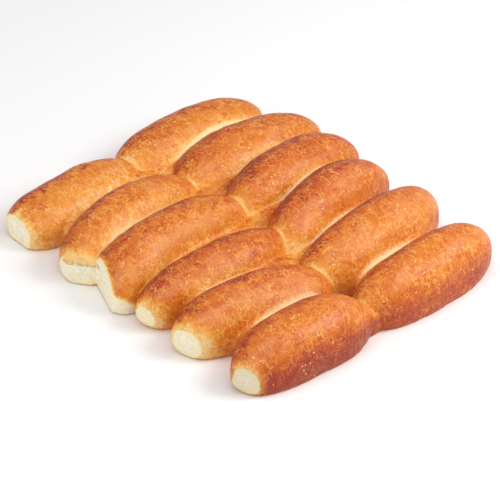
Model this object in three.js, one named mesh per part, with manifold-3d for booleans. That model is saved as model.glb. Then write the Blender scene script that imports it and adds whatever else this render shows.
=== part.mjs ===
// A batch of soft long bread rolls, set so close on the tray that they grew into one
// piece: two rows, end to end, of rolls that lie side by side. Millimetres, +Z up. X runs
// across the rolls and Y along them, and the flat underside rests on Z = 0. The free ends
// of the front row are flat torn faces, where the next row was pulled away.

import * as THREE from "three";
import { mergeVertices } from "three/addons/utils/BufferGeometryUtils.js";
import Module from "manifold-3d";

// Driving dimensions
const rollPitch = 58; // from one roll's middle to the next, across a row
const rowPitch = 146; // from the front row's middles to the back row's middles
const shoulderHeight = 15; // above the tray, where a roll is widest
const seamHeight = 30; // the floor of the valley between two rolls side by side
const seamReachOut = 42; // how far that floor runs from the rolls' middles to the free ends
const seamReachIn = 84; // and towards the other row, under the corner of four rolls
const openCornerReach = 57; // less at the last corner, which is open down to the tray
const junctionHeight = 27; // the floor of the notch between two rolls end to end
const junctionReach = 26; // how far that floor runs each way from the notch
const junctionHalfWidth = 15;
const unevenness = 0.7; // how far hand-shaped dough swells and dips

// A roll's section: each quarter is a circle's quarter with its sine or cosine raised to
// one of these, and below 1 that quarter is fuller than round.
const flankPower = 0.9;
const crownPower = 0.95;
const basePower = 0.8;
const baseDepth = 2; // how far the base would round down, in shoulder heights
const domePower = 2.4; // how long the crown stays level before it falls to the tips

// How finely the skins are divided
const rollFacets = { rings: 16, overCrown: 13, underBase: 6 };
const webFacets = { rings: 8, overCrown: 8, underBase: 3 };

const crustColour = 0xd07a2c;

// Each roll as it was shaped: how far its middle lies off the even layout (shiftX, shiftY),
// its turn in degrees, the lengths from its middle to its front and back tips, the half
// width of its two flanks, its height, how far its middle bows sideways, and how blunt
// its two ends are in plan. torn is the flat end: its distance from the middle, and its
// turn and lean in degrees. A fitting program made most of these numbers from outlines of
// the photo that were drawn by eye. They were then rounded, and some changed by hand.
const frontRow = [
  {
    shiftX: -1, shiftY: -1, turn: -0.5, front: 72, back: 70, left: 28, right: 32,
    height: 41, bow: 1.5, bluntFront: 4.4, bluntBack: 3,
    torn: { distance: 65.5, turn: -4, lean: 0 },
  },
  {
    shiftX: 9, shiftY: 5, turn: 7, front: 82, back: 80, left: 28, right: 30,
    height: 50, bow: -7, bluntFront: 4.1, bluntBack: 2.3,
    torn: { distance: 78.5, turn: 25, lean: -3 },
  },
  {
    shiftX: 4, shiftY: 5, turn: 3, front: 84, back: 88, left: 30, right: 30,
    height: 53, bow: -7, bluntFront: 8, bluntBack: 3,
    torn: { distance: 76.5, turn: -29, lean: 2 },
  },
  {
    shiftX: -5, shiftY: 6, turn: -2.5, front: 81, back: 84, left: 28, right: 28,
    height: 48, bow: 4, bluntFront: 2.2, bluntBack: 2.4,
    torn: { distance: 78, turn: 18, lean: -8 },
  },
  {
    shiftX: -4, shiftY: -3, turn: -11, front: 77, back: 77, left: 28, right: 33,
    height: 48, bow: -2, bluntFront: 2.6, bluntBack: 3.5,
    torn: { distance: 73.5, turn: 28, lean: -4 },
  },
  {
    shiftX: 3, shiftY: 0, turn: -3, front: 79, back: 66, left: 31, right: 31,
    height: 50, bow: -4, bluntFront: 2.4, bluntBack: 2.7,
    torn: { distance: 75, turn: 26, lean: -4 },
  },
];
const backRow = [
  {
    shiftX: 0, shiftY: -10, turn: -5, front: 82, back: 77, left: 31, right: 34,
    height: 44, bow: 0, bluntFront: 3, bluntBack: 2.9,
  },
  {
    shiftX: -2, shiftY: 6, turn: -4, front: 80, back: 81, left: 31, right: 34,
    height: 45, bow: -6, bluntFront: 3.2, bluntBack: 2.9,
  },
  {
    shiftX: -1, shiftY: 8, turn: 2, front: 80, back: 76, left: 30, right: 31,
    height: 52, bow: -8, bluntFront: 2.4, bluntBack: 2.8,
  },
  {
    shiftX: -4, shiftY: -2, turn: 11, front: 76, back: 80, left: 29, right: 30,
    height: 52, bow: -8, bluntFront: 3.4, bluntBack: 3.2,
  },
  {
    shiftX: -12, shiftY: 1, turn: 5, front: 88, back: 79, left: 28, right: 35,
    height: 52, bow: 4, bluntFront: 3.4, bluntBack: 2.3,
  },
  {
    shiftX: -1, shiftY: -1, turn: 2, front: 86, back: 74, left: 29, right: 29,
    height: 50, bow: 3, bluntFront: 3, bluntBack: 2.8,
  },
];

// A sine or cosine raised to a power, with its sign kept
function rounded(value, power) {
  return Math.sign(value) * Math.abs(value) ** power;
}

// Gentle swells and dips of a roll's skin, different on every roll
function swell(share, angle, phase) {
  const along = Math.sin(5 * share + 2.1 * phase);
  const around = Math.sin(3 * angle + 7 * share + 1.3 * phase);
  return unevenness * (0.6 * along + 0.4 * around) * (1 - share * share);
}

// The point of a roll's skin at a share of its length, from -1 at the front tip to 1 at
// the back tip, and at an angle round its section
function skinPoint(roll, share, angle, phase) {
  const reach = share < 0 ? roll.front : roll.back;
  const blunt = share < 0 ? roll.bluntFront : roll.bluntBack;
  const planShare = Math.sqrt(1 - Math.abs(share) ** blunt);
  const domeShare = Math.sqrt(1 - Math.abs(share) ** domePower);
  const across = Math.cos(angle);
  const upward = Math.sin(angle);
  const halfWidth = across < 0 ? roll.left : roll.right;
  const lump = swell(share, angle, phase);

  let x = (halfWidth + lump) * planShare * rounded(across, flankPower);
  let y = share * reach;
  let z = shoulderHeight;
  if (upward > 0) {
    z += (roll.height + lump - shoulderHeight) * domeShare * rounded(upward, crownPower);
  } else {
    z += baseDepth * shoulderHeight * planShare * rounded(upward, basePower);
  }
  z = Math.max(z, 0);

  if (roll.torn) {
    const turned = Math.tan(THREE.MathUtils.degToRad(roll.torn.turn));
    const leaned = Math.tan(THREE.MathUtils.degToRad(roll.torn.lean));
    y = Math.max(y, turned * x + leaned * (z - shoulderHeight) - roll.torn.distance);
  }
  x += roll.bow * (1 - (y / reach) ** 2);
  return new THREE.Vector3(x, y, z);
}

// The angles round a section, from the right shoulder over the crown and back underneath
function sectionAngles(facets) {
  const angles = [];
  for (let i = 0; i < facets.overCrown; i += 1) {
    angles.push((Math.PI * i) / facets.overCrown);
  }
  for (let i = 0; i < facets.underBase; i += 1) {
    angles.push(Math.PI + (Math.PI * i) / facets.underBase);
  }
  return angles;
}

// A roll's closed skin: rings of points between one point at each tip
function rollSkin(roll, phase, facets) {
  const angles = sectionAngles(facets);
  const points = [skinPoint(roll, -1, 0, phase)];
  for (let ring = 1; ring < facets.rings; ring += 1) {
    const even = (2 * ring) / facets.rings - 1;
    const share = 0.6 * Math.sin((even * Math.PI) / 2) + 0.4 * even;
    angles.forEach((angle) => points.push(skinPoint(roll, share, angle, phase)));
  }
  points.push(skinPoint(roll, 1, 0, phase));

  const sides = angles.length;
  const lastTip = points.length - 1;
  const triangles = [];
  for (let side = 0; side < sides; side += 1) {
    const next = (side + 1) % sides;
    triangles.push(0, 1 + side, 1 + next);
    for (let ring = 0; ring < facets.rings - 2; ring += 1) {
      const near = 1 + ring * sides;
      const far = near + sides;
      triangles.push(near + side, far + side, far + next);
      triangles.push(near + side, far + next, near + next);
    }
    const lastRing = 1 + (facets.rings - 2) * sides;
    triangles.push(lastTip, lastRing + next, lastRing + side);
  }

  const geometry = new THREE.BufferGeometry().setFromPoints(points);
  geometry.setIndex(triangles);
  geometry.rotateZ(THREE.MathUtils.degToRad(roll.turn));
  geometry.translate(roll.x, roll.y, 0);
  return geometry;
}

// The rolls of one row, each given its place in the batch
function placeRow(row, rowY) {
  return row.map((roll, column) => ({
    ...roll,
    x: (column - (row.length - 1) / 2) * rollPitch + roll.shiftX,
    y: rowY + roll.shiftY,
  }));
}

// The dough that fills the valley between two rolls side by side, as a low roll of its own
function seamWeb(a, b, frontReach, backReach) {
  return {
    x: (a.x + b.x + a.right - b.left + a.bow + b.bow) / 2,
    y: (a.y + b.y) / 2,
    turn: (a.turn + b.turn) / 2,
    front: frontReach,
    back: backReach,
    left: (b.x - a.x) / 2,
    right: (b.x - a.x) / 2,
    height: seamHeight,
    bow: 0,
    bluntFront: domePower,
    bluntBack: domePower,
  };
}

// The dough that joins two rolls end to end, as a low short roll of its own
function junctionWeb(front, back) {
  const frontTurn = THREE.MathUtils.degToRad(front.turn);
  const backTurn = THREE.MathUtils.degToRad(back.turn);
  const frontTip = front.y + front.back * Math.cos(frontTurn);
  const backTip = back.y - back.front * Math.cos(backTurn);
  const frontTipX = front.x - front.back * Math.sin(frontTurn);
  const backTipX = back.x + back.front * Math.sin(backTurn);
  return {
    x: (frontTipX + backTipX) / 2,
    y: (frontTip + backTip) / 2,
    turn: (front.turn + back.turn) / 2,
    front: junctionReach,
    back: junctionReach,
    left: junctionHalfWidth,
    right: junctionHalfWidth,
    height: junctionHeight,
    bow: 0,
    bluntFront: domePower,
    bluntBack: domePower,
  };
}

const wasm = await Module();
wasm.setup();

function solidOf(geometry) {
  const merged = mergeVertices(geometry);
  return new wasm.Manifold(
    new wasm.Mesh({
      numProp: 3,
      vertProperties: new Float32Array(merged.attributes.position.array),
      triVerts: new Uint32Array(merged.index.array),
    }),
  );
}

function geometryOf(solid) {
  const mesh = solid.getMesh();
  const geometry = new THREE.BufferGeometry();
  geometry.setAttribute("position", new THREE.BufferAttribute(mesh.vertProperties, 3));
  geometry.setIndex(new THREE.BufferAttribute(mesh.triVerts, 1));
  return geometry;
}

// The whole batch as one solid, with the middle of its underside at the origin
function batchGeometry() {
  const fronts = placeRow(frontRow, -rowPitch / 2);
  const backs = placeRow(backRow, rowPitch / 2);
  const rolls = [...fronts, ...backs];
  const webs = fronts.map((roll, column) => junctionWeb(roll, backs[column]));
  for (let column = 1; column < fronts.length; column += 1) {
    const reachIn = column === fronts.length - 1 ? openCornerReach : seamReachIn;
    webs.push(seamWeb(fronts[column - 1], fronts[column], seamReachOut, reachIn));
    webs.push(seamWeb(backs[column - 1], backs[column], reachIn, seamReachOut));
  }

  const skins = [
    ...rolls.map((roll, index) => rollSkin(roll, index, rollFacets)),
    ...webs.map((web, index) => rollSkin(web, index, webFacets)),
  ];
  const solid = skins.map(solidOf).reduce((joined, next) => joined.add(next));
  const geometry = geometryOf(solid);
  geometry.computeBoundingBox();
  const middle = geometry.boundingBox.getCenter(new THREE.Vector3());
  geometry.translate(-middle.x, -middle.y, 0);
  geometry.computeVertexNormals();
  return geometry;
}

const batch = new THREE.Mesh(
  batchGeometry(),
  new THREE.MeshStandardMaterial({
    color: crustColour,
    roughness: 0.55,
    metalness: 0,
  }),
);
batch.name = "roll_batch";

const part = new THREE.Group();
part.add(batch);

export default part;
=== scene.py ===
import math

import bpy
import numpy as np
from mathutils import Matrix, Vector, noise
from mathutils.bvhtree import BVHTree


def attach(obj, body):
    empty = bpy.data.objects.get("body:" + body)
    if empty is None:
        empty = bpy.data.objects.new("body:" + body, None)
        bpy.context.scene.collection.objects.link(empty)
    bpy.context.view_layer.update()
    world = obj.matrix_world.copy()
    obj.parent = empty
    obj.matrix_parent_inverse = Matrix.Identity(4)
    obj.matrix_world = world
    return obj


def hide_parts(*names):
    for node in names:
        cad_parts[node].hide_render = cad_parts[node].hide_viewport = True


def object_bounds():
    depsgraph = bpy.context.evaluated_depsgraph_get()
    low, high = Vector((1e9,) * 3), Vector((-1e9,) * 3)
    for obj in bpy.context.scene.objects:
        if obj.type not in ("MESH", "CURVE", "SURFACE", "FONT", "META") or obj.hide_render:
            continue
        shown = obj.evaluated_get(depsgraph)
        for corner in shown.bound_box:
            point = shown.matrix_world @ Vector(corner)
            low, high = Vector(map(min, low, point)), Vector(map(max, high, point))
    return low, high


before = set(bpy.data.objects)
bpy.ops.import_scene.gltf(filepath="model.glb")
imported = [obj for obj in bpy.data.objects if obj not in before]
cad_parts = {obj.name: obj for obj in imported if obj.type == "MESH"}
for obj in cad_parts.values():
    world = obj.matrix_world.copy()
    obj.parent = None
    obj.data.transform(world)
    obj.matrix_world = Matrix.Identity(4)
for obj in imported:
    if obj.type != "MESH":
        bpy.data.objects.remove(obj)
cadLow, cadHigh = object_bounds()
mm = 0.001
print("frame loaded, box", [round(v, 4) for v in (*cadLow, *cadHigh)])


# Small helpers for objects and meshes

def deselectAll():
    for item in bpy.context.selected_objects:
        item.select_set(False)


def makeActive(piece):
    deselectAll()
    piece.select_set(True)
    bpy.context.view_layer.objects.active = piece


def applyModifier(piece, kind, **settings):
    makeActive(piece)
    modifier = piece.modifiers.new(kind.lower(), kind)
    for name, value in settings.items():
        setattr(modifier, name, value)
    bpy.ops.object.modifier_apply(modifier=modifier.name)


def readPoints(mesh):
    points = np.empty(len(mesh.vertices) * 3)
    mesh.vertices.foreach_get("co", points)
    return points.reshape(-1, 3)


def writePoints(mesh, points):
    mesh.vertices.foreach_set("co", np.asarray(points, float).ravel())
    mesh.update()


# The batch: twelve long rolls that grew together on the tray. Millimetres, as in the CAD.
batch = {
    "rollPitch": 58,       # from one roll's middle to the next, across a row
    "rowPitch": 146,       # between the two rows' middles
    "middle": (-0.58, 5.843),  # of the layout's outline, which is the frame's origin
    "shoulder": 15,        # above the tray, where a roll is widest
    "seamHeight": 30,      # floor of the valley between two rolls side by side
    "seamReachOut": 42,    # how far it runs from the rolls' middles to the free ends
    "seamReachIn": 84,     # and towards the other row, under the corner of four rolls
    "openCornerReach": 57,  # less at the last corner, which is open down to the tray
    "junctionHeight": 27,  # floor of the notch between two rolls end to end
    "junctionReach": 26,
    "junctionHalfWidth": 15,
    "unevenness": 0.7,
    "flankPower": 0.9,     # below 1 a section is fuller than round
    "crownPower": 0.95,
    "basePower": 0.8,
    "baseDepth": 2,        # in shoulder heights
    "domePower": 2.4,      # how long the crown stays level before it falls to the tips
    "rings": 48,
    "sides": 56,
    "voxel": 1.35,
    "dents": (0.5, 24),    # height and breadth of the crust's soft dents
    "crumbs": (0.22, 2.4),  # and of the torn crumb's roughness
    "tornNear": 0.8,       # how near a torn end's plane a point counts as crumb
    "flatBase": 0.9,       # points lower than this are pressed flat on the tray
    "triangles": 190000,
}

# Each roll as it was shaped: how far it lies off the even layout, its turn in degrees, its
# lengths to the front and back tips, the half widths of its flanks, its height, its bow
# and how blunt its ends are. torn is the flat end: distance, turn and lean. A fitting
# program made most of these numbers from outlines drawn on the photo.
# They were then rounded, and some changed. bare marks with the same three numbers
# where the crust is missing round the torn end, and fade is how far the crust pales
# before it; both were set one by one.
frontRow = [
    dict(shift=(-1, -1), turn=-0.5, front=72, back=70, left=28, right=32, height=41,
         bow=1.5, bluntFront=4.4, bluntBack=3, torn=(65.5, -4, 0), bare=(68, 0, -12),
         fade=7),
    dict(shift=(9, 5), turn=7, front=82, back=80, left=28, right=30, height=50,
         bow=-7, bluntFront=4.1, bluntBack=2.3, torn=(78.5, 25, -3), bare=(75, 3, -10),
         fade=10),
    dict(shift=(4, 5), turn=3, front=84, back=88, left=30, right=30, height=53,
         bow=-7, bluntFront=8, bluntBack=3, torn=(76.5, -29, 2), bare=(79, 8, -48),
         fade=4),
    dict(shift=(-5, 6), turn=-2.5, front=81, back=84, left=28, right=28, height=48,
         bow=4, bluntFront=2.2, bluntBack=2.4, torn=(78, 18, -8), bare=(80, 0, -20),
         fade=13),
    dict(shift=(-4, -3), turn=-11, front=77, back=77, left=28, right=33, height=48,
         bow=-2, bluntFront=2.6, bluntBack=3.5, torn=(73.5, 28, -4), bare=(76, 0, -10),
         fade=14),
    dict(shift=(3, 0), turn=-3, front=79, back=66, left=31, right=31, height=50,
         bow=-4, bluntFront=2.4, bluntBack=2.7, torn=(75, 26, -4), bare=(77, 0, -10),
         fade=6),
]
backRow = [
    dict(shift=(0, -10), turn=-5, front=82, back=77, left=31, right=34, height=44,
         bow=0, bluntFront=3, bluntBack=2.9),
    dict(shift=(-2, 6), turn=-4, front=80, back=81, left=31, right=34, height=45,
         bow=-6, bluntFront=3.2, bluntBack=2.9),
    dict(shift=(-1, 8), turn=2, front=80, back=76, left=30, right=31, height=52,
         bow=-8, bluntFront=2.4, bluntBack=2.8),
    dict(shift=(-4, -2), turn=11, front=76, back=80, left=29, right=30, height=52,
         bow=-8, bluntFront=3.4, bluntBack=3.2),
    dict(shift=(-12, 1), turn=5, front=88, back=79, left=28, right=35, height=52,
         bow=4, bluntFront=3.4, bluntBack=2.3),
    dict(shift=(-1, -1), turn=2, front=86, back=74, left=29, right=29, height=50,
         bow=3, bluntFront=3, bluntBack=2.8),
]


def placeRow(row, rowY):
    for column, roll in enumerate(row):
        roll["x"] = (column - (len(row) - 1) / 2) * batch["rollPitch"] + roll["shift"][0]
        roll["y"] = rowY + roll["shift"][1]


placeRow(frontRow, -batch["rowPitch"] / 2)
placeRow(backRow, batch["rowPitch"] / 2)
rolls = frontRow + backRow
for phase, roll in enumerate(rolls):
    roll["phase"] = phase


def seamWeb(a, b, front, back):
    halfWidth = (b["x"] - a["x"]) / 2
    x = (a["x"] + b["x"] + a["right"] - b["left"] + a["bow"] + b["bow"]) / 2
    return dict(x=x, y=(a["y"] + b["y"]) / 2, turn=(a["turn"] + b["turn"]) / 2,
                front=front, back=back, left=halfWidth, right=halfWidth,
                height=batch["seamHeight"], bow=0)


def junctionWeb(front, back):
    frontTurn, backTurn = math.radians(front["turn"]), math.radians(back["turn"])
    frontTip = (front["x"] - front["back"] * math.sin(frontTurn),
                front["y"] + front["back"] * math.cos(frontTurn))
    backTip = (back["x"] + back["front"] * math.sin(backTurn),
               back["y"] - back["front"] * math.cos(backTurn))
    return dict(x=(frontTip[0] + backTip[0]) / 2, y=(frontTip[1] + backTip[1]) / 2,
                turn=(front["turn"] + back["turn"]) / 2,
                front=batch["junctionReach"], back=batch["junctionReach"],
                left=batch["junctionHalfWidth"], right=batch["junctionHalfWidth"],
                height=batch["junctionHeight"], bow=0)


webs = [junctionWeb(front, back) for front, back in zip(frontRow, backRow)]
for column in range(1, len(frontRow)):
    lastCorner = column == len(frontRow) - 1
    reachIn = batch["openCornerReach"] if lastCorner else batch["seamReachIn"]
    webs.append(seamWeb(frontRow[column - 1], frontRow[column],
                        batch["seamReachOut"], reachIn))
    webs.append(seamWeb(backRow[column - 1], backRow[column],
                        reachIn, batch["seamReachOut"]))
for phase, web in enumerate(webs):
    web.update(phase=phase, bluntFront=batch["domePower"], bluntBack=batch["domePower"])


def rounded(values, power):
    return np.sign(values) * np.abs(values) ** power


# Turns the round blank, one unit long each way, into a roll's skin
def shapeDough(points, roll):
    share = np.clip(points[:, 1], -1, 1)
    angle = np.arctan2(points[:, 2], points[:, 0])
    toFront = share < 0
    blunt = np.where(toFront, roll["bluntFront"], roll["bluntBack"])
    planShare = np.sqrt(1 - np.abs(share) ** blunt)
    domeShare = np.sqrt(1 - np.abs(share) ** batch["domePower"])
    across, upward = np.cos(angle), np.sin(angle)
    along = np.sin(5 * share + 2.1 * roll["phase"])
    around = np.sin(3 * angle + 7 * share + 1.3 * roll["phase"])
    lump = batch["unevenness"] * (0.6 * along + 0.4 * around) * (1 - share ** 2)
    halfWidth = np.where(across < 0, roll["left"], roll["right"])
    shoulder = batch["shoulder"]
    x = (halfWidth + lump) * planShare * rounded(across, batch["flankPower"])
    y = share * np.where(toFront, roll["front"], roll["back"])
    over = (roll["height"] + lump - shoulder) * domeShare * rounded(upward, batch["crownPower"])
    under = batch["baseDepth"] * shoulder * planShare * rounded(upward, batch["basePower"])
    z = shoulder + np.where(upward > 0, over, under)
    return np.stack([x, y, z], axis=1) * mm


# Bows a roll sideways, turns it and sets it in its place
def settleDough(points, roll):
    points = points.copy()
    reach = np.where(points[:, 1] < 0, roll["front"], roll["back"]) * mm
    points[:, 0] += roll["bow"] * mm * (1 - (points[:, 1] / reach) ** 2)
    place = Matrix.Translation(((roll["x"] - batch["middle"][0]) * mm,
                                (roll["y"] - batch["middle"][1]) * mm, 0))
    turned = np.array(place @ Matrix.Rotation(math.radians(roll["turn"]), 4, "Z"))
    return points @ turned[:3, :3].T + turned[:3, 3]


# The way back: millimetres across, along and above a roll that isn't bowed
def rollPoints(points, roll):
    x = points[:, 0] / mm + batch["middle"][0] - roll["x"]
    y = points[:, 1] / mm + batch["middle"][1] - roll["y"]
    turn = math.radians(roll["turn"])
    along = y * math.cos(turn) - x * math.sin(turn)
    across = x * math.cos(turn) + y * math.sin(turn)
    reach = np.where(along < 0, roll["front"], roll["back"])
    across = across - roll["bow"] * (1 - np.clip(along / reach, -1, 1) ** 2)
    return across, along, points[:, 2] / mm


# How far points lie behind a plane across a roll, given by its distance, turn and lean
def behindPlane(points, roll, plane):
    distance, turn, lean = plane
    across, along, up = rollPoints(points, roll)
    tanTurn, tanLean = math.tan(math.radians(turn)), math.tan(math.radians(lean))
    behind = along - tanTurn * across - tanLean * (up - batch["shoulder"]) + distance
    return behind / math.sqrt(1 + tanTurn ** 2 + tanLean ** 2)


def cutDough(corner, normal):
    bpy.ops.mesh.select_all(action="SELECT")
    bpy.ops.mesh.bisect(plane_co=corner, plane_no=normal, use_fill=True, clear_inner=True)


deselectAll()
bpy.ops.mesh.primitive_uv_sphere_add(segments=batch["sides"], ring_count=batch["rings"],
                                     radius=1, rotation=(math.pi / 2, 0, 0))
dough = bpy.context.object
bpy.ops.object.transform_apply(location=False, rotation=True, scale=False)
doughPoints = readPoints(dough.data)
doughFaces = [tuple(face.vertices) for face in dough.data.polygons]

pieces = []
for roll in rolls + webs:
    piece = bpy.data.objects.new("dough", dough.data.copy())
    bpy.context.scene.collection.objects.link(piece)
    shaped = shapeDough(doughPoints, roll)
    writePoints(piece.data, shaped)
    roll["skin"] = BVHTree.FromPolygons(settleDough(shaped, roll).tolist(), doughFaces)
    makeActive(piece)
    bpy.ops.object.mode_set(mode="EDIT")
    cutDough((0, 0, 0), (0, 0, 1))
    if "torn" in roll:
        distance, turn, lean = roll["torn"]
        slope = (-math.tan(math.radians(turn)), 1, -math.tan(math.radians(lean)))
        cutDough((0, -distance * mm, batch["shoulder"] * mm), slope)
    bpy.ops.object.mode_set(mode="OBJECT")
    writePoints(piece.data, settleDough(readPoints(piece.data), roll))
    pieces.append(piece)
bpy.data.objects.remove(dough)

deselectAll()
for piece in pieces:
    piece.select_set(True)
bpy.context.view_layer.objects.active = pieces[0]
bpy.ops.object.join()
bread = bpy.context.object
bread.name = "bread_rolls"
print("rolls shaped and joined:", len(bread.data.polygons), "faces")

applyModifier(bread, "REMESH", mode="VOXEL", voxel_size=batch["voxel"] * mm)
applyModifier(bread, "SMOOTH", factor=0.5, iterations=3)


def readNormals(mesh):
    normals = np.empty(len(mesh.vertices) * 3)
    mesh.vertices.foreach_get("normal", normals)
    return normals.reshape(-1, 3)


# Soft hills and hollows of a given breadth, between -1 and 1
def hills(points, breadth):
    return np.array([noise.fractal(Vector(point), 1.0, 2.0, 3)
                     for point in (points / (breadth * mm)).tolist()])


# soft dents in the crust, and rough crumb on the torn ends
points = readPoints(bread.data)
normals = readNormals(bread.data)
relief = batch["dents"][0] * hills(points, batch["dents"][1])
tornDepth = np.stack([behindPlane(points, roll, roll["torn"]) for roll in frontRow], 1)
facesFront = (normals[:, 1] < -0.7) & (points[:, 1] < -0.1)
onTorn = (np.abs(tornDepth).min(1) < batch["tornNear"]) & facesFront
crumbHeight, crumbBreadth = batch["crumbs"]
relief[onTorn] = crumbHeight * (hills(points[onTorn], crumbBreadth) - 0.5)
points += relief[:, None] * normals * mm
points[points[:, 2] < batch["flatBase"] * mm, 2] = 0
points = np.clip(points, np.array(cadLow), np.array(cadHigh))
writePoints(bread.data, points)
quads = len(bread.data.polygons)
applyModifier(bread, "DECIMATE", ratio=min(1, batch["triangles"] / (2 * quads)))
makeActive(bread)
bpy.ops.object.shade_smooth()
points = readPoints(bread.data)
normals = readNormals(bread.data)
print("fused:", quads, "faces, then", len(bread.data.polygons))

# What the crust's look needs to know of each place: how far it is from the skin of every
# roll, as the roll was before it was torn. Millimetres, and below zero inside a roll.
crust = {
    "reach": 50,           # distances are followed this far
    # how brown each roll was baked, first the front row and then the back row
    "bake": (0.50, 0.58, 0.65, 0.76, 0.69, 0.66, 0.57, 0.64, 0.76, 0.77, 0.63, 0.61),
    "riseFrom": 1.5,       # gap at which a flank starts to brown above a seam's pale side
    # and over what length, in each seam of the front row and then of the back row
    "risePale": (6.5, 6, 4, 5, 2.2, 5, 5, 5, 4, 3),
    "riseEnd": 6,          # the same at the seams between the rows
    "riseDark": 0.6,       # the same on the seam's dark side
    "crestBrownAndShade": 0.30,         # browner on the side that faces the row's first roll, away from the key light: partly real browner crust, partly painted shade
    # browner low on the free flanks, partly real crust and partly painted shade where they face
    # down, and by which share on each roll; paler below zero, which is painted light against
    # the shade on those rolls' low flanks
    "free": 0.38,
    "freeShare": (-0.4, 0, -0.2, -0.5, -0.7, 1, 0.6, 1, 1, 1, 1, 0.7),
    "flank": 0.13,         # paler on the flank that the key light crosses: partly real paler crust, partly a painted highlight
    "pitPaleAndLit": 0.65,           # painted light in part: paler where four rolls meet, lifting the shade in the deep pit there, partly the real paler crust where they touched
    "pitReach": (10, 24),  # full up to the first distance and gone at the second
    "freeReach": (14, 34),  # a flank counts as free between these distances from a seam
    # seams narrow and brown between these places along Y, at the back and at the front
    "outerBack": (80, 108),
    "outerFront": (105, 140),
    # how strongly each roll's crest is scorched in patches
    "scorch": (2.2, 0.8, 0.7, 0.8, 1.1, 0.8, 1.8, 1.2, 1.0, 1.0, 1.2, 0.7),
    # how wide the pale dough shows in each seam of the front row and then of the back row,
    # how much wider where the seam opened most, where along Y that is, and how long
    "seamWidth": 2.6,
    "seamOpen": (0.7, 2.2, 0.6, 2.4, 7.6, 3.6, 1.3, 1.7, 5.2, 8.0),
    "seamOpenAt": (-60, -60, -110, -70, -56, 62, 60, 50, 62, 46),
    "seamOpenLength": (60, 70, 30, 70, 54, 30, 60, 60, 42, 48),
    "junctionWidth": (0.8, 0.7, 0.7, 0.5, 0.9, 0.9),
    # wrinkled ends: roll, where along it they start and are full, how strong they are
    "wrinkles": ((5, 12, 34, 0.7), (10, 38, 62, 0.4), (4, 50, 66, 0.5)),
    "wrinkleBend": 70,     # they bow back towards the flanks, less the larger this is
    "lipHeight": 21.5,     # of the crease under the second roll's pale lip
}
skinGap = np.full((len(points), len(rolls)), float(crust["reach"]))
for number, roll in enumerate(rolls):
    nearest = roll["skin"].find_nearest
    for index, point in enumerate(points.tolist()):
        spot, normal, face, distance = nearest(point, crust["reach"] * mm)
        if spot is not None:
            outside = (Vector(point) - spot).dot(normal) >= 0
            skinGap[index, number] = (distance if outside else -distance) / mm
print("crust distances measured")


def ease(values, low, high):
    share = np.clip((values - low) / (high - low), 0, 1)
    return share * share * (3 - 2 * share)


outer = np.maximum(skinGap, 0)
every = np.arange(len(points))
columns = len(frontRow)
sidePairs = [(n, n + 1) for n in range(2 * columns - 1) if n != columns - 1]
endPairs = [(n, n + columns) for n in range(columns)]


# The pair of rolls whose seam is nearest, how far it is, and on which side a place lies
def nearestPair(pairs):
    gaps = np.stack([np.maximum(outer[:, a], outer[:, b]) for a, b in pairs], 1)
    signed = np.stack([outer[:, a] - outer[:, b] for a, b in pairs], 1)
    pair = gaps.argmin(1)
    return pair, gaps[every, pair], signed[every, pair]


sidePair, sideGap, sideSigned = nearestPair(sidePairs)
endPair, endGap, endSigned = nearestPair(endPairs)

owner = np.abs(skinGap).argmin(1)
rim = np.full(len(points), float(crust["reach"]))
fade = np.ones(len(points))
for number, roll in enumerate(frontRow):
    torn = behindPlane(points, roll, roll["torn"])
    onFace = (torn < 1) & (normals[:, 1] < -0.5)
    own = (skinGap[:, number] < 1.2) & ((sideGap > 0.8) | onFace)
    torn += np.minimum(skinGap[:, number], 0)
    bare = behindPlane(points, roll, roll["bare"])
    rim = np.where(own, np.minimum(rim, np.minimum(torn, bare)), rim)
    fade[owner == number] = roll["fade"]

grain = np.zeros((len(points), 3))
for number, roll in enumerate(rolls):
    mine = owner == number
    across, along, up = rollPoints(points[mine], roll)
    grain[mine] = np.stack([across + 100 * number, along, up], 1) * mm

level = np.clip(normals[:, 2], 0, 1)
lastRolls, firstRolls = (columns - 1, 2 * columns - 1), (0, columns)
outward = np.isin(owner, lastRolls) * ease(normals[:, 0], 0.1, 0.5)
outward = outward + np.isin(owner, firstRolls) * ease(-normals[:, 0], 0.3, 0.7)
# the side of a seam that lay against the next roll is the pale one
paleSide = ease(-sideSigned, -1, 2)
paleEnd = ease(endSigned, -1, 2)
y = points[:, 1] / mm
outerEnd = ease(y, *crust["outerBack"]) + ease(-y, *crust["outerFront"])
paleLength = np.array(crust["risePale"])[sidePair] * (1 - 0.6 * outerEnd)
overBand = np.maximum(sideGap - crust["riseFrom"] * (1 - outerEnd), 0)
risePale = 1 - np.exp(-overBand / paleLength)
riseDark = 1 - np.exp(-sideGap / crust["riseDark"])
rise = riseDark + (risePale - riseDark) * paleSide
endPale = 1 - np.exp(-np.maximum(endGap - 0.5, 0) / crust["riseEnd"])
endDark = 1 - np.exp(-endGap / crust["riseDark"])
endRise = endDark + (endPale - endDark) * paleEnd
rise = rise * (endRise + (1 - endRise) * outward * 0.8)
# painted light: the deep pit where four rolls meet is drawn paler to lift its shade, partly the
# real paler crust where they touched
pitPaleAndLit = (1 - ease(np.hypot(sideGap, endGap), *crust["pitReach"])) * (1 - outward)
spare = ease(np.minimum(sideGap, endGap), *crust["freeReach"])
# painted shade in part: free flanks that face down are drawn browner, partly real browner crust
# there; a share below zero paints light on them instead
free = np.maximum(spare, outward) * ease(1 - level, 0.4, 1.1)
free *= np.array(crust["freeShare"])[owner]
brown = np.array(crust["bake"])[owner]
# painted shade in part: the side facing -X, away from the key light, is drawn browner, partly
# real browner crust as well
crestBrownAndShade = ease(-normals[:, 0], -0.05, 0.65) * (1 - 0.6 * ease(-normals[:, 0], 0.6, 0.95))
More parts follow.
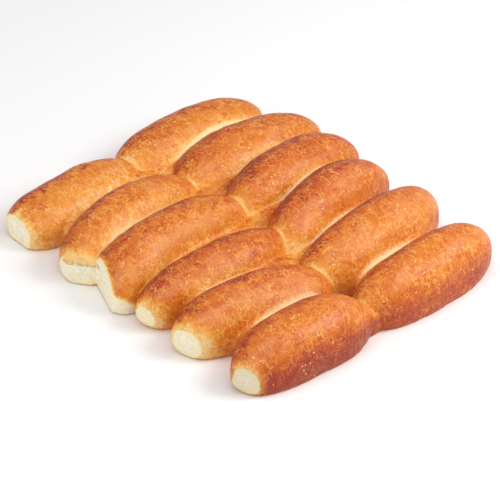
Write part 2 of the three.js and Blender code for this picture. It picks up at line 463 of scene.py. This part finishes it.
# painted highlight in part: flanks facing +X, towards the key light, are drawn paler, partly
# real paler crust there
paleFlankAndSheen = ease(normals[:, 0], 0.15, 0.75) * (1 - outward)
brown += (crust["crestBrownAndShade"] * crestBrownAndShade - crust["flank"] * paleFlankAndSheen) * (1 - free)
brown = rise * brown + crust["free"] * free
brown *= (0.2 + 0.8 * ease(rim, 0, fade)) * (1 - crust["pitPaleAndLit"] * pitPaleAndLit)

openAt = np.array(crust["seamOpenAt"])[sidePair]
openLength = np.array(crust["seamOpenLength"])[sidePair]
opening = np.exp(-((y - openAt) / openLength) ** 2)
sideWidth = crust["seamWidth"] + np.array(crust["seamOpen"])[sidePair] * opening
sideWidth *= (0.1 + 0.9 * paleSide) * (1 - 0.85 * outerEnd)
endWidth = np.array(crust["junctionWidth"])[endPair] * (1 - 0.8 * outward)

wrinkled = np.zeros(len(points))
across, along, up = grain.T / mm
for number, start, full, strength in crust["wrinkles"]:
    wrinkled += strength * (owner == number) * ease(along, start, full)
arc = along + (across - 100 * owner) ** 2 / crust["wrinkleBend"]
# painted shade: the last front roll's torn crumb is drawn greyer and darker, against the
# stronger light on its end
crumbShade = (owner == columns - 1).astype(float)

# The second roll's crust laps over its torn end as a pale lip, with a crease under it, where a
# darker line is painted as shade
creaseShade = np.zeros(len(points))
lipHeight = crust["lipHeight"]
onEnd = (owner == 1) & (behindPlane(points, rolls[1], rolls[1]["torn"]) < 5)
overLip = points[:, 2] / mm - lipHeight
creaseShade[onEnd] = 1 - ease(np.abs(overLip[onEnd]), 0.5, 1.3)
rim = np.where(onEnd & (overLip > 0), np.maximum(rim, 0.8), rim)
scorch = np.array(crust["scorch"])[owner] * (1 - np.maximum(free, 0))
scorch *= ease(-normals[:, 0], -0.3, 0.5) * (1 - 0.6 * ease(-normals[:, 0], 0.6, 0.95))


def store(name, *values):
    kind = "FLOAT" if len(values) == 1 else "FLOAT_VECTOR"
    key = "value" if len(values) == 1 else "vector"
    attribute = bread.data.attributes.new(name, kind, "POINT")
    attribute.data.foreach_set(key, np.stack(values, 1).astype(np.float32).ravel())


store("browning", brown)
store("seamGap", sideGap, endGap, rim)
store("seamWidth", sideWidth, endWidth, creaseShade)
store("marks", wrinkled, crumbShade, arc)
# painted highlight: a pinkish sheen on the flanks that face the key light
paintedSheen = ease(normals[:, 0], 0.0, 0.3) * (1 - ease(normals[:, 0], 0.55, 0.85)) * rise
store("shade", scorch, np.maximum(free, 0), paintedSheen)
store("grain", *grain.T)


# Materials

# A colour as seen, 0 to 255, for a shader socket
def tint(red, green, blue):
    linear = [v / 255 / 12.92 if v < 10.3 else ((v / 255 + 0.055) / 1.055) ** 2.4
              for v in (red, green, blue)]
    return (*linear, 1)


def addNode(tree, kind, inputs=None, **settings):
    node = tree.nodes.new(kind)
    for name, value in settings.items():
        setattr(node, name, value)
    for name, value in (inputs or {}).items():
        if isinstance(value, bpy.types.NodeSocket):
            tree.links.new(value, node.inputs[name])
        else:
            node.inputs[name].default_value = value
    return node


def maths(tree, operation, a, b=0.0, c=0.0):
    values = dict(enumerate((a, b, c)))
    return addNode(tree, "ShaderNodeMath", values, operation=operation).outputs[0]


# A value spread from one range to another, eased at both ends
def span(tree, value, fromMin, fromMax, toMin=0.0, toMax=1.0):
    values = {"Value": value, "From Min": fromMin, "From Max": fromMax,
              "To Min": toMin, "To Max": toMax}
    node = addNode(tree, "ShaderNodeMapRange", values, interpolation_type="SMOOTHSTEP")
    return node.outputs["Result"]


def blend(tree, factor, a, b, mode="MIX"):
    node = addNode(tree, "ShaderNodeMix", {0: factor, 6: a, 7: b},
                   data_type="RGBA", blend_type=mode)
    return node.outputs[2]


def noiseOf(tree, place, scale, detail=3.0, roughness=0.55):
    values = {"Vector": place, "Scale": scale, "Detail": detail, "Roughness": roughness}
    return addNode(tree, "ShaderNodeTexNoise", values).outputs["Fac"]


def stretch(tree, place, scale):
    return addNode(tree, "ShaderNodeMapping", {"Vector": place, "Scale": scale}).outputs[0]


# A net of fine lines round cells of a given size
def lineNet(tree, place, scale, width):
    cells = addNode(tree, "ShaderNodeTexVoronoi", {"Vector": place, "Scale": scale},
                    feature="DISTANCE_TO_EDGE").outputs["Distance"]
    return span(tree, cells, 0.0, width, 1.0, 0.0)


# Round dots in a share of the cells of a given size
def dots(tree, place, scale, share, small, large):
    cells = addNode(tree, "ShaderNodeTexVoronoi", {"Vector": place, "Scale": scale})
    pick = addNode(tree, "ShaderNodeSeparateXYZ", {0: cells.outputs["Color"]}).outputs[0]
    chosen = maths(tree, "GREATER_THAN", pick, 1 - share)
    return maths(tree, "MULTIPLY", chosen,
                 span(tree, cells.outputs["Distance"], small, large, 1.0, 0.0))


# Adds a pattern centred on a half to a value
def sway(tree, value, pattern, amount):
    return maths(tree, "ADD", value, maths(tree, "MULTIPLY_ADD", pattern, amount, -amount / 2))


crustLook = {
    # from pale dough to dark crust
    "stops": (
        (0.00, (248, 220, 158)),
        (0.14, (247, 192, 104)),
        (0.30, (238, 159, 64)),
        (0.45, (226, 136, 43)),
        (0.60, (214, 114, 30)),
        (0.75, (202, 93, 26)),
        (0.90, (182, 70, 25)),
        (1.00, (156, 54, 24)),
    ),
    # mottling: how fine each layer is, and how strongly it sways the browning
    "clouds": (28.0, 0.22),
    "patches": (95.0, 0.46),
    "streaks": (300.0, 0.48),
    "flecks": (330.0, 0.62),
    "fine": (760.0, 0.75),
    "warp": (140.0, 0.0038),  # fineness, and metres that the patterns are bent by
    "scorchStrength": 0.34,
    "netScales": (92.0, 185.0),
    "wrinklePitch": 3.9,   # millimetres
    "speckScale": 190.0,
    "speckShare": 0.22,
    "roughness": (0.27, 0.3),  # at the least, and how much the flecks and bare dough add
    "bump": (0.45, 0.001),  # strength, and height in metres
    "specular": 0.38,
    # dark red of the low free flanks: partly real crust, partly painted shade
    "low": (150, 34, 10),
    "vein": (250, 188, 102),
    # colour of the painted pinkish highlight
    "paintedSheen": (240, 162, 112),
    "speck": (255, 224, 166),
    "seam": ((245, 208, 134), (252, 232, 186)),
    "crumb": ((243, 230, 198), (254, 247, 224)),
    "crumbRing": (253, 232, 168),
    # grey of the painted shade on the last roll's crumb
    "crumbShadeGrey": (230, 227, 224),
    # colour of the painted shade line in the crease under the lip
    "creaseShade": (196, 132, 70),
    "under": ((232, 176, 110), (196, 120, 62)),
}


def makeCrust():
    look = bpy.data.materials.new("baked_crust")
    look.use_nodes = True
    tree = look.node_tree
    shader = tree.nodes["Principled BSDF"]

    def attribute(name):
        return addNode(tree, "ShaderNodeAttribute", attribute_name=name)

    def parts(vector):
        return addNode(tree, "ShaderNodeSeparateXYZ", {0: vector}).outputs

    def times(a, b):
        return maths(tree, "MULTIPLY", a, b)

    place = addNode(tree, "ShaderNodeTexCoord").outputs["Object"]
    sideGap, endGap, rim = parts(attribute("seamGap").outputs["Vector"])
    sideWidth, endWidth, creaseShade = parts(attribute("seamWidth").outputs["Vector"])
    wrinkled, crumbShade, arc = parts(attribute("marks").outputs["Vector"])
    grain = attribute("grain").outputs["Vector"]
    browning = attribute("browning").outputs["Fac"]
    scorchable, lowFlankBrownAndShade, paintedSheen = parts(attribute("shade").outputs["Vector"])

    # everything is drawn on a slightly warped skin, so that no line is straight
    warpScale, warpReach = crustLook["warp"]
    warp = addNode(tree, "ShaderNodeTexNoise",
                   {"Vector": place, "Scale": warpScale, "Detail": 2.0})
    offset = addNode(tree, "ShaderNodeVectorMath",
                     {0: warp.outputs["Color"], 1: (0.5, 0.5, 0.5)}, operation="SUBTRACT")
    offset = addNode(tree, "ShaderNodeVectorMath",
                     {0: offset.outputs[0], "Scale": warpReach}, operation="SCALE")
    bent = addNode(tree, "ShaderNodeVectorMath", {0: grain, 1: offset.outputs[0]},
                   operation="ADD").outputs[0]

    # mottling from broad clouds down to fine grain, some of it in streaks round the roll
    alongRoll = stretch(tree, bent, (1.2, 0.8, 1.0))
    roundRoll = stretch(tree, bent, (0.45, 1.6, 0.45))
    clouds = noiseOf(tree, place, crustLook["clouds"][0], 2.0)
    patches = noiseOf(tree, alongRoll, crustLook["patches"][0], 3.0, 0.6)
    streaks = noiseOf(tree, roundRoll, crustLook["streaks"][0], 3.0, 0.6)
    flecks = noiseOf(tree, alongRoll, crustLook["flecks"][0], 3.0, 0.65)
    fine = noiseOf(tree, place, crustLook["fine"][0], 2.0, 0.6)
    layers = {"clouds": clouds, "patches": patches, "streaks": streaks, "flecks": flecks,
              "fine": fine}
    brown = browning
    for name, pattern in layers.items():
        brown = sway(tree, brown, pattern, crustLook[name][1])
    scorch = times(span(tree, patches, 0.40, 0.64), span(tree, streaks, 0.36, 0.62))
    brown = maths(tree, "MULTIPLY_ADD", times(scorch, scorchable),
                  crustLook["scorchStrength"], brown)
    # some places are more even, the pale ones most
    even = times(span(tree, browning, 0.0, 0.4, 0.45, 1.0),
                 span(tree, noiseOf(tree, place, 60.0, 1.0), 0.35, 0.6, 0.6, 1.3))
    mottle = times(maths(tree, "SUBTRACT", brown, browning), even)
    brown = maths(tree, "ADD", browning, mottle)

    # light veins where the skin stretched
    broadScale, narrowScale = crustLook["netScales"]
    broad = lineNet(tree, bent, broadScale, 0.042)
    narrow = lineNet(tree, bent, narrowScale, 0.07)
    contour = noiseOf(tree, stretch(tree, bent, (0.5, 1.5, 0.5)), 105.0, 1.0)
    contour = maths(tree, "ABSOLUTE", maths(tree, "SUBTRACT", contour, 0.5))
    creases = span(tree, contour, 0.0, 0.018, 1.0, 0.0)
    broken = span(tree, noiseOf(tree, place, 130.0, 3.0), 0.42, 0.58)
    veins = maths(tree, "MAXIMUM", broad, times(narrow, 0.55))
    veins = times(maths(tree, "MAXIMUM", veins, times(creases, 0.8)), broken)

    # arcs of fine wrinkles round some of the ends
    wave = sway(tree, times(arc, 1 / crustLook["wrinklePitch"]), patches, 0.9)
    wave = maths(tree, "SINE", times(wave, 2 * math.pi))
    wave = times(span(tree, wave, 0.3, 1.0), span(tree, patches, 0.38, 0.6, 0.1, 1.0))
    veins = maths(tree, "MAXIMUM", veins, times(wave, wrinkled))
    veins = times(veins, maths(tree, "MULTIPLY_ADD", lowFlankBrownAndShade, -0.5, 1.0))
    brown = maths(tree, "SUBTRACT", brown, times(veins, 0.16))

    ramp = addNode(tree, "ShaderNodeValToRGB", {"Fac": brown})
    stops = crustLook["stops"]
    while len(ramp.color_ramp.elements) < len(stops):
        ramp.color_ramp.elements.new(0.5)
    for element, (position, colour) in zip(ramp.color_ramp.elements, stops):
        element.position, element.color = position, tint(*colour)
    # low free flanks blend towards dark red: partly real browner crust, partly painted shade
    # where they face down
    colour = blend(tree, times(lowFlankBrownAndShade, 0.45), ramp.outputs["Color"], tint(*crustLook["low"]))
    # painted highlight: dull pinkish sheen patches on the flanks that the key light crosses
    sheenPatches = noiseOf(tree, stretch(tree, bent, (1.5, 0.7, 1.0)), 48.0, 1.5)
    sheenPatches = times(times(span(tree, sheenPatches, 0.46, 0.56), paintedSheen), 0.26)
    colour = blend(tree, sheenPatches, colour, tint(*crustLook["paintedSheen"]))
    veinShade = blend(tree, 0.58, colour, tint(*crustLook["vein"]))
    colour = blend(tree, times(veins, 0.85), colour, veinShade)
    specks = dots(tree, place, crustLook["speckScale"], crustLook["speckShare"], 0.08, 0.18)
    colour = blend(tree, times(specks, 0.85), colour, tint(*crustLook["speck"]))

    # pale dough in the seams, with short stretched fibres at its edge
    ragged = noiseOf(tree, stretch(tree, place, (0.4, 0.9, 0.4)), 620.0, 4.0, 0.75)
    edge = times(sideWidth, maths(tree, "MULTIPLY_ADD", ragged, 1.5, 0.25))
    sideBand = span(tree, maths(tree, "DIVIDE", sideGap, edge), 0.5, 1.1, 1.0, 0.0)
    edge = times(endWidth, maths(tree, "MULTIPLY_ADD", ragged, 1.2, 0.4))
    endBand = span(tree, maths(tree, "DIVIDE", endGap, edge), 0.35, 1.2, 0.45, 0.0)
    band = maths(tree, "MAXIMUM", sideBand, endBand)
    pale, palest = crustLook["seam"]
    colour = blend(tree, band, colour, blend(tree, fine, tint(*pale), tint(*palest)))

    # crumb on the torn ends, with a yellow ring inside its edge
    unevenRim = maths(tree, "MULTIPLY_ADD", fine, 1.6, maths(tree, "SUBTRACT", rim, 0.8))
    torn = span(tree, unevenRim, -0.5, 0.7, 1.0, 0.0)
    crumbDark, crumbLight = crustLook["crumb"]
    crumb = blend(tree, span(tree, noiseOf(tree, place, 300.0, 3.0), 0.3, 0.7),
                  tint(*crumbDark), tint(*crumbLight))
    ring = times(span(tree, rim, -4.5, -0.6), span(tree, flecks, 0.3, 0.6, 0.5, 1.0))
    crumb = blend(tree, times(ring, 0.7), crumb, tint(*crustLook["crumbRing"]))
    # painted shade: the last front roll's crumb darkened
    crumb = blend(tree, times(crumbShade, 0.75), crumb, tint(*crustLook["crumbShadeGrey"]),
                  "MULTIPLY")
    colour = blend(tree, torn, colour, crumb)
    # painted shade: a darker line along the crease under the lip
    creaseShadeLine = times(creaseShade, span(tree, flecks, 0.35, 0.55))
    colour = blend(tree, times(creaseShadeLine, 0.8), colour, tint(*crustLook["creaseShade"]))

    # underside
    under = span(tree, parts(place)[2], 0.0003, 0.0012, 1.0, 0.0)
    underPale, underDark = crustLook["under"]
    tray = blend(tree, patches, tint(*underPale), tint(*underDark))
    colour = blend(tree, under, colour, tray)
    tree.links.new(colour, shader.inputs["Base Color"])

    bare = maths(tree, "MAXIMUM", band, torn)
    leastRough, addedRough = crustLook["roughness"]
    roughness = maths(tree, "MULTIPLY_ADD", flecks, addedRough, leastRough)
    roughness = maths(tree, "MULTIPLY_ADD", bare, addedRough, roughness)
    tree.links.new(roughness, shader.inputs["Roughness"])

    relief = maths(tree, "MULTIPLY_ADD", veins, 0.4, times(patches, 0.6))
    relief = maths(tree, "MULTIPLY_ADD", flecks, 0.5, relief)
    relief = maths(tree, "MULTIPLY_ADD", fine, 0.2, relief)
    pores = addNode(tree, "ShaderNodeTexVoronoi", {"Vector": place, "Scale": 520.0})
    pores = times(pores.outputs["Distance"], torn)
    relief = maths(tree, "MULTIPLY_ADD", pores, 0.25, relief)
    bumpStrength, bumpHeight = crustLook["bump"]
    bump = addNode(tree, "ShaderNodeBump",
                   {"Height": relief, "Strength": bumpStrength, "Distance": bumpHeight})
    tree.links.new(bump.outputs["Normal"], shader.inputs["Normal"])
    shader.inputs["Specular IOR Level"].default_value = crustLook["specular"]
    return look


bread.data.materials.clear()
bread.data.materials.append(makeCrust())

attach(bread, "root")
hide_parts("roll_batch")
print("crust made")

# Studio
studio = {
    "floorGrey": 0.97,
    "worldStrength": 0.48,
    # each soft light: azimuth and height above the horizon in degrees, distance, size in
    # metres, power
    "softboxes": {
        "key": (128, 44, 1.3, 0.7, 9.2),
        "top": (60, 85, 1.4, 1.3, 4.6),
        "fill": (-5, 32, 1.6, 1.4, 5.6),
    },
    "azimuth": 47,
    "elevation": 35,
    "distance": 3.6,
    "aim": (0.00014, -0.00542, 0.00085),
    "lens": 298.1,
}


def direction(azimuth, elevation):
    a, e = math.radians(azimuth), math.radians(elevation)
    return Vector((math.sin(a) * math.cos(e), -math.cos(a) * math.cos(e), math.sin(e)))


deselectAll()
bpy.ops.mesh.primitive_plane_add(size=12, location=(0, 0, -0.0002))
floor = bpy.context.object
floor.name = "floor"
floorLook = bpy.data.materials.new("pale_floor")
floorLook.use_nodes = True
grey = studio["floorGrey"]
floorShader = floorLook.node_tree.nodes["Principled BSDF"]
floorShader.inputs["Base Color"].default_value = (grey, grey, grey, 1)
floorShader.inputs["Roughness"].default_value = 0.8
floorShader.inputs["Specular IOR Level"].default_value = 0.1
floor.data.materials.append(floorLook)

world = bpy.data.worlds.new("studio")
world.use_nodes = True
backdrop = world.node_tree.nodes["Background"]
backdrop.inputs["Color"].default_value = (1, 1, 1, 1)
backdrop.inputs["Strength"].default_value = studio["worldStrength"]
bpy.context.scene.world = world
bpy.context.scene.view_settings.view_transform = "Standard"

for name, (azimuth, elevation, distance, size, power) in studio["softboxes"].items():
    way = direction(azimuth, elevation)
    bpy.ops.object.light_add(type="AREA", location=way * distance,
                             rotation=way.to_track_quat("Z", "Y").to_euler())
    softbox = bpy.context.object
    softbox.name = name
    softbox.data.shape = "DISK"
    softbox.data.size = size
    softbox.data.energy = power

back = direction(studio["azimuth"], studio["elevation"])
bpy.ops.object.camera_add(location=Vector(studio["aim"]) + back * studio["distance"],
                          rotation=back.to_track_quat("Z", "Y").to_euler())
camera = bpy.context.object
camera.data.sensor_width = 36
camera.data.lens = studio["lens"]
camera.data.clip_end = 20
bpy.context.scene.camera = camera
print("studio set")
